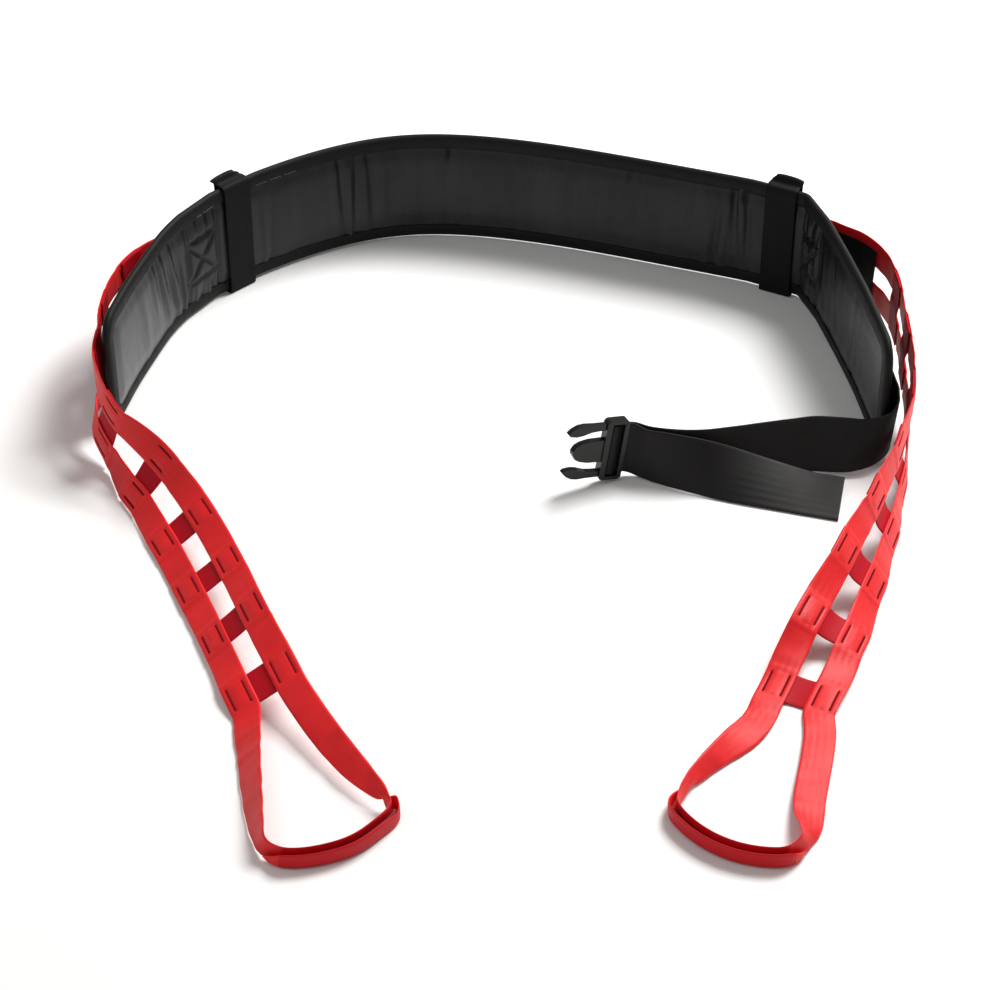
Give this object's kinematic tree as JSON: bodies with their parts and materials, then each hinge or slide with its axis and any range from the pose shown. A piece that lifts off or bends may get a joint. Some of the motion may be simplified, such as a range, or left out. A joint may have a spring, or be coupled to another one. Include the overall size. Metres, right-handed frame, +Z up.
{
  "type": "gait belt",
  "caption": "Padded waist belt for walking support, with ladder-like lifting straps on both sides, rolled hand loops and a side release buckle.",
  "frame": {"origin": "on the ground, in the middle of the footprint", "axes": "+X towards the wing of the pad where the waist strap comes out, +Y towards the middle of the back pad, +Z up"},
  "size_m": [0.7434, 0.9134, 0.127],
  "materials": {
    "pad_fabric": "satin woven nylon, black",
    "lining_fabric": "satin lining, dark grey",
    "foam": "closed cell foam, matte",
    "binding_tape": "matte woven tape, black",
    "black_webbing": "woven polypropylene webbing, black",
    "red_webbing": "satin woven webbing, red",
    "red_rung_webbing": "woven webbing, deep red",
    "red_thread": "dark red thread",
    "black_thread": "black thread",
    "grip_core": "soft core",
    "buckle_plastic": "moulded acetal, black, semi-matte"
  },
  "bodies": {
    "pad": {"pad_foam_core": "foam", "pad_inner_lining": "lining_fabric", "pad_outer_cover": "pad_fabric", "top_edge_binding": "binding_tape", "bottom_edge_binding": "binding_tape", "left_end_binding": "binding_tape", "right_end_binding": "binding_tape", "left_box_stitching": "black_thread", "right_box_stitching": "black_thread", "left_anchor_patch": "black_webbing", "right_anchor_patch": "black_webbing", "waist_belt_back": "black_webbing", "waist_belt_end": "black_webbing", "female_anchor_webbing": "black_webbing"},
    "left_keeper": {"left_keeper_loop": "black_webbing"},
    "right_keeper": {"right_keeper_loop": "black_webbing"},
    "left_ladder": {"left_ladder_bartacks": "red_thread", "left_ladder_inner_rail": "red_webbing", "left_ladder_outer_rail": "red_webbing", "left_ladder_tab": "black_webbing", "left_rung_1": "red_rung_webbing", "left_rung_2": "red_rung_webbing", "left_rung_3": "red_rung_webbing", "left_rung_4": "red_rung_webbing", "left_rung_5": "red_rung_webbing", "left_rung_6": "red_rung_webbing", "left_rung_7": "red_rung_webbing", "left_rung_8": "red_rung_webbing", "left_rung_9": "red_rung_webbing"},
    "right_ladder": {"right_ladder_bartacks": "red_thread", "right_ladder_inner_rail": "red_webbing", "right_ladder_outer_rail": "red_webbing", "right_ladder_tab": "black_webbing", "right_rung_1": "red_rung_webbing", "right_rung_2": "red_rung_webbing", "right_rung_3": "red_rung_webbing", "right_rung_4": "red_rung_webbing", "right_rung_5": "red_rung_webbing", "right_rung_6": "red_rung_webbing", "right_rung_7": "red_rung_webbing", "right_rung_8": "red_rung_webbing"},
    "left_hand_loop": {"left_grip_core": "grip_core", "left_grip_sleeve": "red_webbing", "left_loop_inner_leg": "red_webbing", "left_loop_outer_leg": "red_webbing"},
    "right_hand_loop": {"right_grip_core": "grip_core", "right_grip_sleeve": "red_webbing", "right_loop_inner_leg": "red_webbing", "right_loop_outer_leg": "red_webbing"},
    "waist_strap": {"waist_strap_front": "black_webbing"},
    "strap_tail": {"waist_strap_tail": "black_webbing"},
    "male_buckle": {"male_buckle_frame": "buckle_plastic", "male_guide_tongue": "buckle_plastic"},
    "upper_prong": {"male_upper_prong": "buckle_plastic"},
    "lower_prong": {"male_lower_prong": "buckle_plastic"},
    "female_buckle": {"female_buckle_housing": "buckle_plastic", "female_webbing_bar": "buckle_plastic"}
  },
  "joints": [
    {"name": "left_keeper_slide", "type": "slide", "parent": "pad", "child": "left_keeper", "axis": [0.7045, 0.7097, 0], "range_m": [-0.008, 0.008]},
    {"name": "right_keeper_slide", "type": "slide", "parent": "pad", "child": "right_keeper", "axis": [0.884, -0.4676, 0], "range_m": [-0.012, 0.003]},
    {"name": "left_ladder_swing", "type": "hinge", "parent": "pad", "child": "left_ladder", "pos_m": [-0.28783, 0.34046, 0.057], "axis": [0, 0, -1], "range_deg": [0, 90]},
    {"name": "right_ladder_swing", "type": "hinge", "parent": "pad", "child": "right_ladder", "pos_m": [0.30205, 0.33581, 0.057], "axis": [0, 0, 1], "range_deg": [0, 90]},
    {"name": "left_loop_lift", "type": "hinge", "parent": "left_ladder", "child": "left_hand_loop", "pos_m": [-0.18708, -0.2783, 0.01746], "axis": [-0.8443, -0.3091, -0.4378], "range_deg": [0, 100]},
    {"name": "right_loop_lift", "type": "hinge", "parent": "right_ladder", "child": "right_hand_loop", "pos_m": [0.23272, -0.27274, 0.00335], "axis": [-0.9058, 0.4237, 0.0056], "range_deg": [0, 100]},
    {"name": "waist_strap_swing", "type": "hinge", "parent": "pad", "child": "waist_strap", "pos_m": [0.35091, 0.07509, 0.041], "axis": [0, 0, 1], "range_deg": [-12, 18]},
    {"name": "strap_tail_lift", "type": "hinge", "parent": "waist_strap", "child": "strap_tail", "pos_m": [0.11063, 0.04086, 0.0304], "axis": [-0.14, -0.1, -0.9851], "range_deg": [0, 75]},
    {"name": "male_buckle_swivel", "type": "hinge", "parent": "waist_strap", "child": "male_buckle", "pos_m": [0.09657, 0.03521, 0.03378], "axis": [-0.14, -0.1, -0.9851], "range_deg": [0, 90]},
    {"name": "upper_prong_flex", "type": "hinge", "parent": "male_buckle", "child": "upper_prong", "pos_m": [0.08999, 0.03266, 0.05903], "axis": [0.4011, -0.9153, 0.0359], "range_deg": [0, 8], "stiffness_Nm_per_rad": 0.15},
    {"name": "lower_prong_flex", "type": "hinge", "parent": "male_buckle", "child": "lower_prong", "pos_m": [0.08335, 0.02792, 0.01234], "axis": [-0.4011, 0.9153, -0.0359], "range_deg": [0, 8], "stiffness_Nm_per_rad": 0.15},
    {"name": "female_buckle_pivot", "type": "hinge", "parent": "pad", "child": "female_buckle", "pos_m": [-0.33343, 0.25672, 0.059], "axis": [0, 0, -1], "range_deg": [0, 5]}
  ]
}
